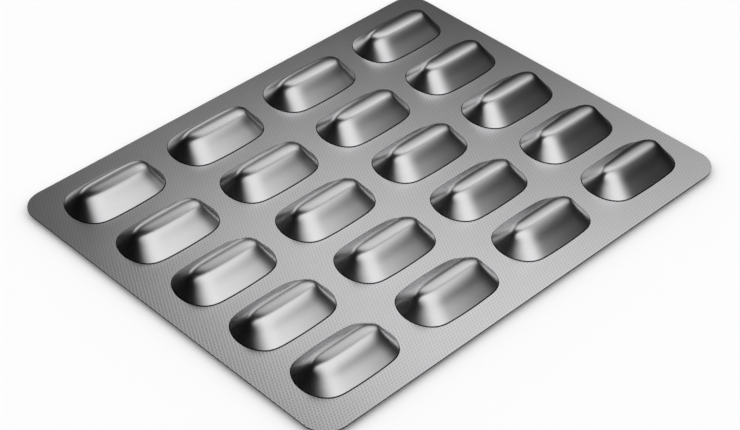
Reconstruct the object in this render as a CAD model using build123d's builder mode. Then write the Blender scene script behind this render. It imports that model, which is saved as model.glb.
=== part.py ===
# Pill blister pack: twenty oblong pockets, cold formed in aluminium foil and sealed underneath
# by a flat lidding foil. The sealed pack is one closed body that lies flat, with its pockets up.
# Lengths in millimetres. X runs along the pockets, Y across them, and Z up from the table.
import os
from math import asin, atan2, cos, hypot, radians, sin, tan

from build123d import *

os.makedirs("parts", exist_ok=True)

# The card: formed foil and lidding foil, heat sealed together
card_length = 111.2
card_width = 89.8
card_thickness = 0.25
card_corner_radius = 5.4

# The rows of pockets, which stand a little off the middle of the card
columns = 4
rows = 5
column_pitch = 26.47
row_pitch = 16.74
array_shift_x = 0.45
array_shift_y = 0.6

# A pocket: its outline on the card, its full round crown and the slope of its two end walls
pocket_length = 22.0
pocket_width = 12.9
pocket_height = 4.26
crown_radius = 3.65
end_slope = radians(51)

# The crown is a round bar with ball ends, laid along the pocket. The long walls rise from the
# outline at the slope that just touches it, and the end walls have their own slope, so the place
# of the balls follows from it. Heights are above the top of the card.
centre_height = pocket_height - crown_radius
to_centre = hypot(pocket_width / 2, centre_height)
side_slope = atan2(centre_height, pocket_width / 2) + asin(crown_radius / to_centre)
ball_x = (pocket_length / 2) - (crown_radius + centre_height * cos(end_slope)) / sin(end_slope)

# Where the walls touch the crown
side_touch_y = crown_radius * sin(side_slope)
side_touch_z = centre_height + crown_radius * cos(side_slope)
end_touch_x = ball_x + crown_radius * sin(end_slope)
end_touch_z = centre_height + crown_radius * cos(end_slope)

# Each end wall is a cone that touches the ball and both long walls, so its axis leans out a little.
# It meets a long wall on a line from the crown down to the outline.
lean = atan2(cos(side_slope) - cos(end_slope), sin(end_slope))
wall_foot_x = ball_x - side_touch_z * tan(lean) / sin(side_slope) ** 2

# The cone is made longer than the wall, and cut off at the top of the card
cone_foot_z = -pocket_height
cone_foot_x = end_touch_x + (end_touch_z - cone_foot_z) / tan(end_slope)


def nearest_on_axis(x, z):
    """The point of the leaning axis that is nearest to this one."""
    along = (x - ball_x) * sin(lean) + (z - centre_height) * cos(lean)
    return ball_x + along * sin(lean), centre_height + along * cos(lean)


# One pocket, standing on its outline
with BuildPart() as pocket:
    # The middle: the long walls under the round bar
    with BuildSketch(Plane.YZ):
        with BuildLine():
            foot = Line((-pocket_width / 2, 0), (pocket_width / 2, 0))
            right_wall = Line(foot @ 1, (side_touch_y, side_touch_z))
            left_wall = Line(foot @ 0, (-side_touch_y, side_touch_z))
            ThreePointArc(right_wall @ 1, (0, pocket_height), left_wall @ 1)
        make_face()
    extrude(amount=pocket_length / 2, both=True)
    with BuildSketch(Plane.XZ):
        with BuildLine():
            Polyline(
                (0, 0),
                (wall_foot_x, 0),
                (ball_x, side_touch_z),
                (ball_x, pocket_height),
                (0, pocket_height),
                close=True,
            )
        make_face()
        mirror(about=Plane.YZ)
    extrude(amount=pocket_width, both=True, mode=Mode.INTERSECT)
    # The ends: a ball, and the cone below it turned about the leaning axis
    with BuildSketch(Plane.XZ):
        with BuildLine():
            Polyline(
                nearest_on_axis(end_touch_x, end_touch_z),
                (end_touch_x, end_touch_z),
                (cone_foot_x, cone_foot_z),
                nearest_on_axis(cone_foot_x, cone_foot_z),
                close=True,
            )
        make_face()
    revolve(axis=Axis((ball_x, 0, centre_height), (sin(lean), 0, cos(lean))))
    with Locations((ball_x, 0, centre_height)):
        Sphere(crown_radius, rotation=(90, 0, 0))
    mirror(about=Plane.YZ)
    split(bisect_by=Plane.XY)

# The whole pack: the card with its rows of pockets
with BuildPart() as blister_pack:
    with BuildSketch():
        RectangleRounded(card_length, card_width, card_corner_radius)
    extrude(amount=card_thickness)
    with Locations((array_shift_x, array_shift_y, card_thickness)):
        with GridLocations(column_pitch, row_pitch, columns, rows):
            add(pocket.part)

blister_pack.part.label = "blister_pack"
export_step(blister_pack.part, "parts/blister_pack.step")
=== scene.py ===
"""Pill blister pack of cold formed aluminium foil: its looks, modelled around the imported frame."""
from math import asin, atan2, ceil, cos, hypot, pi, radians, sin, tan

import bmesh
import bpy
from mathutils import Matrix, Quaternion, Vector


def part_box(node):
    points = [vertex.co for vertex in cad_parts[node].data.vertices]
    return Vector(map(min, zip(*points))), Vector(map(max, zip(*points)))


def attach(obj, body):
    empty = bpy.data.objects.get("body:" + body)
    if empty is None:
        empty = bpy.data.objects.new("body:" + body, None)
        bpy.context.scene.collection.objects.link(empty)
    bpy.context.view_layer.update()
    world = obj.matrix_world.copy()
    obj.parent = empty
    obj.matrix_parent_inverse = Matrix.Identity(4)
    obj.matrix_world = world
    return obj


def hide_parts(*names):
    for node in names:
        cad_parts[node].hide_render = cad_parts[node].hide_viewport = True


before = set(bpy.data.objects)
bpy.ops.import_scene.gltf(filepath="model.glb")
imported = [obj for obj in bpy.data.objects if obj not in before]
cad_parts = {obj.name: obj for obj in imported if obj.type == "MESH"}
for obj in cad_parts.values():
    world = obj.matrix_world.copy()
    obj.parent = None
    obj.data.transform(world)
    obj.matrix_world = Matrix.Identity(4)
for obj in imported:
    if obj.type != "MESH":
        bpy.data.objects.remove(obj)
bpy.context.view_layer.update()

# Lengths are in millimetres until a finished mesh is turned to metres
MM = 0.001

# The card, from the frame, and what the frame's box doesn't tell of it
card_low, card_high = [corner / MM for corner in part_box("blister_pack")]
CARD_LENGTH = card_high.x - card_low.x
CARD_WIDTH = card_high.y - card_low.y
PACK_HEIGHT = card_high.z - card_low.z
CARD_THICKNESS = 0.25
CARD_CORNER_RADIUS = 5.4
LIDDING_THICKNESS = 0.08

# The rows of pockets, and how far they stand off the middle of the card
COLUMNS = 4
ROWS = 5
COLUMN_PITCH = 26.47
ROW_PITCH = 16.74
ROWS_SHIFT_X = 0.45
ROWS_SHIFT_Y = 0.6
FIRST_POCKET = Vector((
    ROWS_SHIFT_X - COLUMN_PITCH * (COLUMNS - 1) / 2,
    ROWS_SHIFT_Y - ROW_PITCH * (ROWS - 1) / 2,
))

# A pocket: long walls and end cones that touch a round bar with ball ends. The slope of the long
# walls follows from the pocket's width and the bar.
POCKET_LENGTH = 22.0
POCKET_WIDTH = 12.9
POCKET_HEIGHT = PACK_HEIGHT - CARD_THICKNESS
CROWN_RADIUS = 3.65
CENTRE_HEIGHT = POCKET_HEIGHT - CROWN_RADIUS
END_SLOPE = radians(51)
SIDE_SLOPE = atan2(CENTRE_HEIGHT, POCKET_WIDTH / 2) + asin(
    CROWN_RADIUS / hypot(POCKET_WIDTH / 2, CENTRE_HEIGHT)
)

# The cage that a pocket is rounded from. Its rings have twelve points: at the two ends, at the four
# corners, and three along each side. The shares say how far out along and across the pocket they
# stand, and give the long sides a slight bow. The rounded surface passes inside the cage, so the
# cage reaches a little further out than the pocket.
CORNER_SHARE = Vector((0.79, 0.915))
SIDE_SHARE = Vector((0.4, 0.98))
RIDGE_SHARE = 0.58
CAGE_REACH = Vector((1.067, 1.014))
WALL_RINGS = (2.3, 1.1)
POCKET_LEVELS = 3

# The crown of the cage is a grid of this many steps, whose inner points first stand half way out.
# Its edge lies lower than the pocket's top. The ridge rises by half of that, which brings the rounded
# crown to the pocket's height. The crown's corners are drawn in, to be rounder than the outline's.
CROWN_STEPS_ALONG = 4
CROWN_STEPS_ACROSS = 2
HALF_WAY = 0.5
CROWN_CAGE_LENGTH = 17.3
CROWN_CAGE_WIDTH = 4.0
CROWN_CAGE_DROP = 0.13
RIDGE_CAGE_RISE = CROWN_CAGE_DROP / 2
CROWN_CORNER_EASE = 0.93

# The foot of a pocket: the height of its crease, which is painted dark as shade, and how far the wall
# goes on into the card
CREASE_HEIGHT = 0.16
FOOT_DEPTH = 0.1

# The knurl of the heat seal: rows of small four-sided dimples, each row half a step along. Its grid
# starts a few rows and steps larger than the card, and is then trimmed.
KNURL_STEP = 0.717
KNURL_ROW = 0.64
KNURL_DEPTH = 0.011
SPARE_ROWS = 2
SPARE_STEPS = 4

# How finely the card's round corners are cut
CORNER_STEPS = 10

# Distances below the first count as nothing, and points nearer to a cut than the second lie on it
TINY = 1e-4
CUT_SLACK = 1e-5


def finished(bm, name, materials, smooth):
    """Makes the bmesh a piece of the pack, in metres, that rides on the pack's one body."""
    bmesh.ops.scale(bm, vec=(MM, MM, MM), verts=bm.verts)
    for face in bm.faces:
        face.smooth = smooth
    mesh = bpy.data.meshes.new(name)
    bm.to_mesh(mesh)
    bm.free()
    for material in materials:
        mesh.materials.append(material)
    piece = bpy.data.objects.new(name, mesh)
    bpy.context.scene.collection.objects.link(piece)
    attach(piece, "root")
    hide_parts("blister_pack")
    return piece


def everything(bm):
    """All points, edges and faces of the bmesh."""
    return bm.verts[:] + bm.edges[:] + bm.faces[:]


def new_verts(result):
    """The points among what a bmesh operator has made."""
    return [part for part in result["geom"] if isinstance(part, bmesh.types.BMVert)]


def open_edges(bm):
    """The edges at the rim of an open mesh."""
    return [edge for edge in bm.edges if edge.is_boundary]


def cut(bm, parts, point, normal):
    """Cuts parts of the bmesh by a plane, and takes away what lies behind it."""
    bmesh.ops.bisect_plane(
        bm, geom=parts, dist=CUT_SLACK, plane_co=point, plane_no=normal, clear_inner=True
    )


def pocket_cage():
    """The cage of one pocket, standing on its outline around the origin."""
    bm = bmesh.new()
    bmesh.ops.create_grid(bm, x_segments=CROWN_STEPS_ALONG, y_segments=CROWN_STEPS_ACROSS, size=1)
    crown_corners = []
    for v in bm.verts:
        at_side = abs(v.co.y) > TINY
        at_end = abs(v.co.x) > 1 - TINY
        if at_side and at_end:
            v.co.xy = v.co.xy * CORNER_SHARE
            crown_corners.append(v)
        elif at_side and abs(v.co.x) > TINY:
            v.co.xy = v.co.xy * Vector((SIDE_SHARE.x / HALF_WAY, SIDE_SHARE.y))
        elif not at_end:
            v.co.x *= RIDGE_SHARE / HALF_WAY
        v.co.z = POCKET_HEIGHT + (-CROWN_CAGE_DROP if v.is_boundary else RIDGE_CAGE_RISE)
    half = Vector((CROWN_CAGE_LENGTH / 2, CROWN_CAGE_WIDTH / 2, 1))
    bmesh.ops.scale(bm, vec=half, verts=bm.verts)

    # Rings down the walls, then at the crease, and one more inside the card
    for height in (*WALL_RINGS, CREASE_HEIGHT, -FOOT_DEPTH):
        next_half = Vector((
            (POCKET_LENGTH / 2 - height / tan(END_SLOPE)) * CAGE_REACH.x,
            (POCKET_WIDTH / 2 - height / tan(SIDE_SLOPE)) * CAGE_REACH.y,
            1,
        ))
        ring = new_verts(bmesh.ops.extrude_edge_only(bm, edges=open_edges(bm)))
        bmesh.ops.scale(bm, vec=(next_half.x / half.x, next_half.y / half.y, 1), verts=ring)
        for v in ring:
            v.co.z = height
        half = next_half
    bmesh.ops.edgeloop_fill(bm, edges=open_edges(bm))
    bmesh.ops.recalc_face_normals(bm, faces=bm.faces)

    # The rings have copied the crown's corners by now, so drawing these in leaves the outline alone
    bmesh.ops.scale(bm, vec=(CROWN_CORNER_EASE, CROWN_CORNER_EASE, 1), verts=crown_corners)

    # The rings from the crease down stay where they are, and the band between them is the crease
    sharp = bm.edges.layers.float.new("crease_edge")
    for edge in bm.edges:
        low, high = sorted(v.co.z for v in edge.verts)
        if high < CREASE_HEIGHT + TINY and high - low < TINY:
            edge[sharp] = 1.0
    # The band below the crease takes the second material: painted shade in the bend at the foot
    for face in bm.faces:
        if face.calc_center_median().z < CREASE_HEIGHT:
            face.material_index = 1
    return bm


def pockets(materials):
    """All the pockets in their rows on the card, as one rounded mesh."""
    bm = pocket_cage()
    first = everything(bm)
    bmesh.ops.translate(bm, vec=(*FIRST_POCKET, CARD_THICKNESS), verts=bm.verts)
    for place in range(1, COLUMNS * ROWS):
        column, row = divmod(place, ROWS)
        copy = bmesh.ops.duplicate(bm, geom=first)
        bmesh.ops.translate(bm, vec=(column * COLUMN_PITCH, row * ROW_PITCH, 0), verts=new_verts(copy))
    piece = finished(bm, "pockets", materials, smooth=True)
    rounding = piece.modifiers.new("rounding", "SUBSURF")
    rounding.levels = POCKET_LEVELS
    rounding.render_levels = POCKET_LEVELS
    rounded = piece.evaluated_get(bpy.context.evaluated_depsgraph_get())
    piece.data = bpy.data.meshes.new_from_object(rounded)
    piece.modifiers.clear()
    return piece


def trim_to_card(bm):
    """Cuts a sheet to the card's outline, with its round corners."""
    half_length = CARD_LENGTH / 2
    half_width = CARD_WIDTH / 2
    for side in (-1, 1):
        cut(bm, everything(bm), (side * half_length, 0, 0), (-side, 0, 0))
        cut(bm, everything(bm), (0, side * half_width, 0), (0, -side, 0))
    middle_x = half_length - CARD_CORNER_RADIUS
    middle_y = half_width - CARD_CORNER_RADIUS
    for side_x in (-1, 1):
        for side_y in (-1, 1):
            middle = Vector((side_x * middle_x, side_y * middle_y, 0))
            for step in range(CORNER_STEPS):
                turn = pi / 2 * (step + 0.5) / CORNER_STEPS
                out = Vector((side_x * cos(turn), side_y * sin(turn), 0))
                edge = middle + out * CARD_CORNER_RADIUS
                nearest = edge.dot(out) - KNURL_STEP
                near = [f for f in bm.faces if f.calc_center_median().dot(out) > nearest]
                parts = dict.fromkeys(part for f in near for part in (*f.verts, *f.edges, f))
                cut(bm, list(parts), edge, -out)


def under_pocket(point):
    """Whether a point of the card lies inside the long oval of a pocket."""
    reach = (POCKET_LENGTH - POCKET_WIDTH) / 2
    along = (point.x - FIRST_POCKET.x + COLUMN_PITCH / 2) % COLUMN_PITCH - COLUMN_PITCH / 2
    across = (point.y - FIRST_POCKET.y + ROW_PITCH / 2) % ROW_PITCH - ROW_PITCH / 2
    on_card = abs(point.x) < CARD_LENGTH / 2 and abs(point.y) < CARD_WIDTH / 2
    return on_card and hypot(max(abs(along) - reach, 0), across) < POCKET_WIDTH / 2


def knurled_sheet(top, bottom, plain_ovals):
    """A closed sheet whose upper face carries the knurl, with or without plain ovals at the pockets."""
    bm = bmesh.new()
    slant = KNURL_STEP / 2 / KNURL_ROW
    rows = ceil(CARD_WIDTH / KNURL_ROW) + SPARE_ROWS
    steps = ceil((CARD_LENGTH + CARD_WIDTH * slant) / KNURL_STEP) + SPARE_STEPS
    bmesh.ops.create_grid(bm, x_segments=steps, y_segments=rows, size=0.5)
    bmesh.ops.scale(bm, vec=(steps * KNURL_STEP, rows * KNURL_ROW, 1), verts=bm.verts)
    shear = Matrix.Identity(4)
    shear[0][1] = slant
    bmesh.ops.transform(bm, matrix=shear, verts=bm.verts)
    sealed = [f for f in bm.faces if not (plain_ovals and under_pocket(f.calc_center_median()))]
    # Marks the bottoms of the dimples, where the foil's colour gets its painted shade
    dimple = bm.verts.layers.float.new("dimple")
    for v in bmesh.ops.poke(bm, faces=sealed, offset=-KNURL_DEPTH)["verts"]:
        v[dimple] = 1.0
    trim_to_card(bm)
    bmesh.ops.translate(bm, vec=(0, 0, top), verts=bm.verts)
    for v in new_verts(bmesh.ops.extrude_edge_only(bm, edges=open_edges(bm))):
        v.co.z = bottom
    bmesh.ops.edgeloop_fill(bm, edges=open_edges(bm))
    bmesh.ops.recalc_face_normals(bm, faces=bm.faces)
    return bm


def linear(hex_colour):
    """An sRGB hex colour as linear red, green and blue, by the sRGB standard's own curve."""
    channels = [int(hex_colour[i : i + 2], 16) / 255 for i in (1, 3, 5)]
    return [c / 12.92 if c <= 0.04045 else ((c + 0.055) / 1.055) ** 2.4 for c in channels] + [1]


def add_node(tree, kind, settings=None, inputs=None, links=None):
    """Adds a node with its settings and input values, and links sockets of earlier nodes into it."""
    node = tree.nodes.new(kind)
    for key, value in (settings or {}).items():
        setattr(node, key, value)
    sockets = {socket.identifier: socket for socket in node.inputs}
    for key, value in (inputs or {}).items():
        sockets[key].default_value = value
    for key, socket in (links or {}).items():
        tree.links.new(socket, sockets[key])
    return node


# The mill's grain is finer than a hundredth of a millimetre. It is drawn as coarse as is needed to
# show, and longer than it is wide. Patches are where the foil was pressed a little harder or softer.
# The sheen is the sum of the two, and lies mostly in this range.
GRAIN_STRETCH = 7
GRAIN_DETAIL = 2.0
PATCH_SIZE = 9.0
PATCH_DETAIL = 1.0
SHEEN_RANGE = (0.7, 1.3)

# Painted shade at the bottom of a dimple, stronger than its depth would give, so that the knurl shows
DIMPLE_SHADE = 0.7


def foil(name, dark, light, roughness, grain, grain_height):
    """Aluminium foil with the grain of the rolling mill along X.

    The grain gives the eye fine streaks in the sheen: the colour goes from dark to light, the
    roughness over its own range, and the surface stands up by the grain's height.
    """
    material = bpy.data.materials.new(name)
    material.use_nodes = True
    tree = material.node_tree
    tree.nodes.clear()
    place = add_node(tree, "ShaderNodeTexCoord")
    drawn_out = add_node(
        tree,
        "ShaderNodeMapping",
        inputs={"Scale": (1 / GRAIN_STRETCH, 1, 1)},
        links={"Vector": place.outputs["Object"]},
    )
    streaks = add_node(
        tree,
        "ShaderNodeTexNoise",
        inputs={"Scale": 1 / (grain * MM), "Detail": GRAIN_DETAIL},
        links={"Vector": drawn_out.outputs["Vector"]},
    )
    patches = add_node(
        tree,
        "ShaderNodeTexNoise",
        inputs={"Scale": 1 / (PATCH_SIZE * MM), "Detail": PATCH_DETAIL},
        links={"Vector": place.outputs["Object"]},
    )
    tone = add_node(tree, "ShaderNodeValToRGB", links={"Fac": streaks.outputs["Fac"]})
    tone.color_ramp.elements[0].color = linear(dark)
    tone.color_ramp.elements[1].color = linear(light)
    # Painted shade: the colour is darkened towards the bottoms of the knurl's dimples
    dimples = add_node(tree, "ShaderNodeAttribute", {"attribute_name": "dimple"})
    shade = add_node(
        tree,
        "ShaderNodeMapRange",
        inputs={"To Min": 1.0, "To Max": DIMPLE_SHADE},
        links={"Value": dimples.outputs["Fac"]},
    )
    shaded = add_node(
        tree,
        "ShaderNodeVectorMath",
        {"operation": "SCALE"},
        links={"Vector": tone.outputs["Color"], "Scale": shade.outputs["Result"]},
    )
    sheen = add_node(
        tree,
        "ShaderNodeMath",
        {"operation": "ADD"},
        links={"Value": streaks.outputs["Fac"], "Value_001": patches.outputs["Fac"]},
    )
    dullness = add_node(
        tree,
        "ShaderNodeMapRange",
        inputs={
            "From Min": SHEEN_RANGE[0],
            "From Max": SHEEN_RANGE[1],
            "To Min": roughness[0],
            "To Max": roughness[1],
        },
        links={"Value": sheen.outputs["Value"]},
    )
    relief = add_node(
        tree,
        "ShaderNodeBump",
        inputs={"Strength": 1.0, "Distance": grain_height * MM},
        links={"Height": streaks.outputs["Fac"]},
    )
    shader = add_node(
        tree,
        "ShaderNodeBsdfPrincipled",
        inputs={"Metallic": 1.0},
        links={
            "Base Color": shaded.outputs["Vector"],
            "Roughness": dullness.outputs["Result"],
            "Normal": relief.outputs["Normal"],
        },
    )
    add_node(tree, "ShaderNodeOutputMaterial", links={"Surface": shader.outputs["BSDF"]})
    return material


# Drawn foil: smooth and bright, because the forming plug has stretched it over the pocket
drawn_foil = foil(
    "cold_formed_aluminium_foil_drawn",
    dark="#dededf",
    light="#e6e6e7",
    roughness=(0.275, 0.285),
    grain=0.3,
    grain_height=0.0001,
)

# Sealed foil: pale satin, with the sealing plate's knurl pressed into it as a fine texture, and painted
# shade in its dimples
sealed_foil = foil(
    "cold_formed_aluminium_foil_heat_sealed",
    dark="#e8e8ea",
    light="#f0f0f1",
    roughness=(0.275, 0.29),
    grain=0.3,
    grain_height=0.0001,
)

# Crease shade: painted shade, dark because little light gets into the sharp bend at the foot of a
# pocket
crease_painted_shade_foil = foil(
    "cold_formed_aluminium_foil_crease_shade",
    dark="#242425",
    light="#343436",
    roughness=(0.4, 0.5),
    grain=0.2,
    grain_height=0.0004,
)

# Lidding foil: harder rolled, a little duller than the formed foil and with a clearer grain; its
# knurl's dimples get painted shade too
lidding_foil = foil(
    "hard_rolled_aluminium_lidding_foil",
    dark="#dcdcdd",
    light="#e9e9ea",
    roughness=(0.28, 0.33),
    grain=0.25,
    grain_height=0.0002,
)

pockets([drawn_foil, crease_painted_shade_foil])
formed = knurled_sheet(CARD_THICKNESS, LIDDING_THICKNESS, plain_ovals=False)
finished(formed, "formed_foil_seal", [sealed_foil], smooth=False)
lidding = knurled_sheet(0, -LIDDING_THICKNESS, plain_ovals=True)
bmesh.ops.rotate(lidding, verts=lidding.verts, cent=(0, 0, 0), matrix=Matrix.Rotation(pi, 3, "X"))
finished(lidding, "lidding_foil", [lidding_foil], smooth=False)

# The floor lies a little lower than the card, whose edges stand clear of the table in the photo and
# throw a soft shadow on it. It is pale and matt, so that it shows shadows and no reflections.
FLOOR_REACH = 3000
FLOOR_DROP = 1.0
FLOOR_ROUGHNESS = 0.9
floor_mesh = bpy.data.meshes.new("floor")
floor_bm = bmesh.new()
bmesh.ops.create_grid(floor_bm, x_segments=1, y_segments=1, size=FLOOR_REACH * MM)
bmesh.ops.translate(floor_bm, vec=(0, 0, -FLOOR_DROP * MM), verts=floor_bm.verts)
floor_bm.to_mesh(floor_mesh)
floor_bm.free()
floor = bpy.data.objects.new("floor", floor_mesh)
bpy.context.scene.collection.objects.link(floor)
pale = bpy.data.materials.new("pale_matt_floor")
pale.use_nodes = True
pale_shader = pale.node_tree.nodes["Principled BSDF"]
pale_shader.inputs["Base Color"].default_value = linear("#f4f4f4")
pale_shader.inputs["Roughness"].default_value = FLOOR_ROUGHNESS
pale_shader.inputs["Specular IOR Level"].default_value = 0.0
floor_mesh.materials.append(pale)
floor.visible_glossy = False


def softbox(name, place, size, brightness, fade_low, fade_high, aim=None):
    """A flat light for the foil alone, which hangs level unless it is aimed at a point.

    It fades over these shares of its length and width, at its low and high sides. A brightness of 1
    looks white in a mirror.
    """
    data = bpy.data.lights.new(name, "AREA")
    data.shape = "RECTANGLE"
    data.size, data.size_y = [side * MM for side in size]
    data.energy = brightness * pi * data.size * data.size_y
    data.use_nodes = True
    tree = data.node_tree
    spot = add_node(tree, "ShaderNodeNewGeometry")
    fades = [
        add_node(
            tree,
            "ShaderNodeMapRange",
            {"data_type": "FLOAT_VECTOR", "interpolation_type": "SMOOTHSTEP"},
            {
                "From_Min_FLOAT3": (*start, 0),
                "From_Max_FLOAT3": (*end, 1),
                "To_Min_FLOAT3": (0, 0, 0),
                "To_Max_FLOAT3": (1, 1, 1),
            },
            {"Vector": spot.outputs["Parametric"]},
        )
        for start, end in (((0, 0), fade_low), ((1, 1), (1 - fade_high[0], 1 - fade_high[1])))
    ]
    both = add_node(
        tree,
        "ShaderNodeVectorMath",
        {"operation": "MULTIPLY"},
        links={"Vector": fades[0].outputs["Vector"], "Vector_001": fades[1].outputs["Vector"]},
    )
    sides = add_node(tree, "ShaderNodeSeparateXYZ", links={"Vector": both.outputs["Vector"]})
    strength = add_node(
        tree,
        "ShaderNodeMath",
        {"operation": "MULTIPLY"},
        links={"Value": sides.outputs["X"], "Value_001": sides.outputs["Y"]},
    )
    tree.links.new(strength.outputs["Value"], tree.nodes["Emission"].inputs["Strength"])
    lamp = bpy.data.objects.new(name, data)
    lamp.location = Vector(place) * MM
    towards = Vector(aim or (place[0], place[1], 0)) - Vector(place)
    lamp.rotation_euler = towards.to_track_quat("-Z", "Y").to_euler()
    lamp.visible_diffuse = False
    bpy.context.scene.collection.objects.link(lamp)


# Softboxes that overlap hang at different heights, because a light hides another in its own plane
softbox(
    "front_softbox",
    place=(-34, -138, 140),
    size=(392, 270),
    brightness=1.05,
    fade_low=(0.5, 0.3),
    fade_high=(0.34, 0.08),
)
softbox(
    "middle_softbox",
    place=(185, 10, 144),
    size=(230, 150),
    brightness=0.32,
    fade_low=(0.3, 0.3),
    fade_high=(0.3, 0.35),
)
softbox(
    "back_softbox",
    place=(99, 89, 148),
    size=(190, 194),
    brightness=0.86,
    fade_low=(0.32, 0.12),
    fade_high=(0.4, 0.18),
)
softbox(
    "side_softbox",
    place=(240, 68, 152),
    size=(240, 207),
    brightness=0.4,
    fade_low=(0.35, 0.3),
    fade_high=(0.25, 0.35),
)
softbox(
    "right_softbox",
    place=(220, -130, 156),
    size=(260, 320),
    brightness=0.02,
    fade_low=(0.3, 0.3),
    fade_high=(0.3, 0.3),
)
# Two upright panels, for the walls and ends of the pockets
softbox(
    "back_panel",
    place=(70, 300, 80),
    size=(315, 220),
    brightness=0.75,
    fade_low=(0.25, 0.3),
    fade_high=(0.35, 0.3),
    aim=(70, 0, 80),
)
softbox(
    "front_panel",
    place=(-40, -400, 80),
    size=(640, 180),
    brightness=0.17,
    fade_low=(0.3, 0.3),
    fade_high=(0.3, 0.3),
    aim=(-40, 0, 80),
)

# Light for the floor alone, from a wide sky that is tilted to the back, so that the card's near
# edges throw the deeper shadow
SKY_STRENGTH = 3.6
SKY_WIDTH = radians(170)
SKY_FALL = Vector((-1, -1, -3.5))
sky = bpy.data.lights.new("floor_fill", "SUN")
sky.energy = SKY_STRENGTH
sky.angle = SKY_WIDTH
fill = bpy.data.objects.new("floor_fill", sky)
fill.rotation_euler = SKY_FALL.to_track_quat("-Z", "Y").to_euler()
fill.visible_glossy = False
bpy.context.scene.collection.objects.link(fill)

# The rest of the studio is nearly black
world = bpy.data.worlds.new("studio")
world.use_nodes = True
world.node_tree.nodes["Background"].inputs["Color"].default_value = linear("#0a0a0a")
bpy.context.scene.world = world
bpy.context.scene.view_settings.view_transform = "Standard"

# The camera, at the photo's place and angle
CAMERA_PLACE = Vector((-205.865, -210.547, 235.08))
CAMERA_AIM = Vector((-7.16, -6.21, 0))
CAMERA_ROLL = radians(0.126)
LENS = 90.85
NEAR_LIMIT = 10
camera_data = bpy.data.cameras.new("camera")
camera_data.lens = LENS
camera_data.sensor_fit = "HORIZONTAL"
camera_data.clip_start = NEAR_LIMIT * MM
camera = bpy.data.objects.new("camera", camera_data)
look = (CAMERA_AIM - CAMERA_PLACE).to_track_quat("-Z", "Y") @ Quaternion((0, 0, 1), CAMERA_ROLL)
camera.matrix_world = Matrix.Translation(CAMERA_PLACE * MM) @ look.to_matrix().to_4x4()
bpy.context.scene.collection.objects.link(camera)
bpy.context.scene.camera = camera
